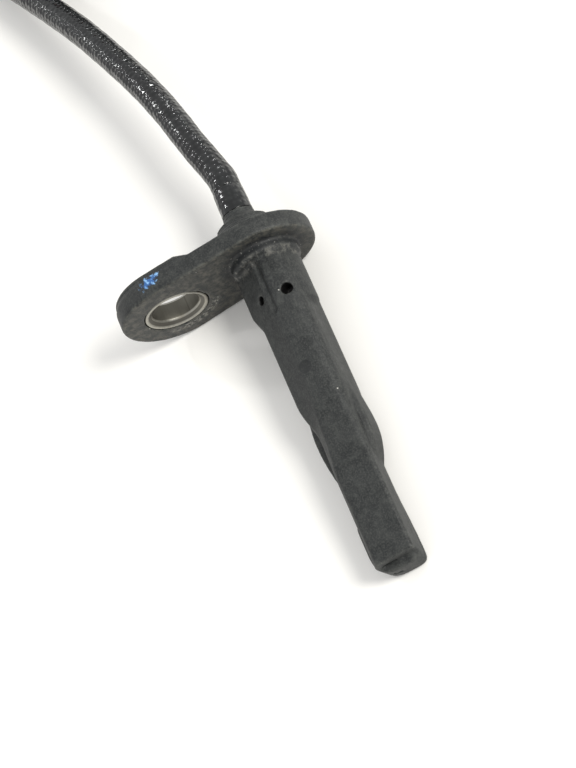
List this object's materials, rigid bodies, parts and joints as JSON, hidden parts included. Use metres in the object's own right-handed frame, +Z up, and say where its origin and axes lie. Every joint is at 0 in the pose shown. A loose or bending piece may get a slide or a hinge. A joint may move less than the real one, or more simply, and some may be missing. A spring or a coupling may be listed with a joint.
{
  "type": "wheel speed sensor with a moulded lead",
  "caption": "Moulded plastic speed probe with a side mounting lobe, a steel bolt bush and a sleeved lead that ends in a small sealed connector.",
  "frame": {"origin": "bottom centre of the sensor's own box, without its lead, on the surface that it lies on", "axes": "+X along the probe towards its tip, +Y away from the mounting lobe, +Z up out of the probe's front face"},
  "size_m": [0.2001, 0.063, 0.0247],
  "materials": {
    "moulding": "satin dark grey glass-filled nylon, dusty",
    "bush_steel": "plain rolled steel, slightly worn",
    "carrier_plastic": "plain black plastic",
    "epoxy": "matt black epoxy",
    "ceramic": "matt ceramic",
    "tinned_metal": "dull tin plate",
    "copper": "bare stranded copper",
    "blue_insulation": "plain blue insulation",
    "brown_insulation": "plain brown insulation",
    "jacket": "smooth black jacket",
    "sleeve": "textured dark sleeve",
    "tie_plastic": "plain black nylon",
    "connector_plastic": "satin dark grey plastic",
    "seal_rubber": "matt silicone rubber",
    "lock_plastic": "plain light plastic"
  },
  "bodies": {
    "root": {"sensor_housing": "moulding", "mounting_bush": "bush_steel", "chip_carrier": "carrier_plastic", "sensor_chip": "epoxy", "filter_capacitor": "ceramic", "left_lead_strip": "tinned_metal", "right_lead_strip": "tinned_metal", "left_crimp": "tinned_metal", "right_crimp": "tinned_metal", "left_conductor": "copper", "right_conductor": "copper", "left_core": "blue_insulation", "right_core": "brown_insulation", "cable_end": "jacket", "sleeve_cuff": "sleeve", "lead_run": "sleeve", "lead_tail": "sleeve", "lead_coil": "sleeve", "coil_tie": "tie_plastic", "connector_boot": "seal_rubber", "connector_housing": "connector_plastic", "connector_seal": "seal_rubber", "connector_lock": "lock_plastic", "left_terminal": "tinned_metal", "right_terminal": "tinned_metal"}
  },
  "joints": []
}
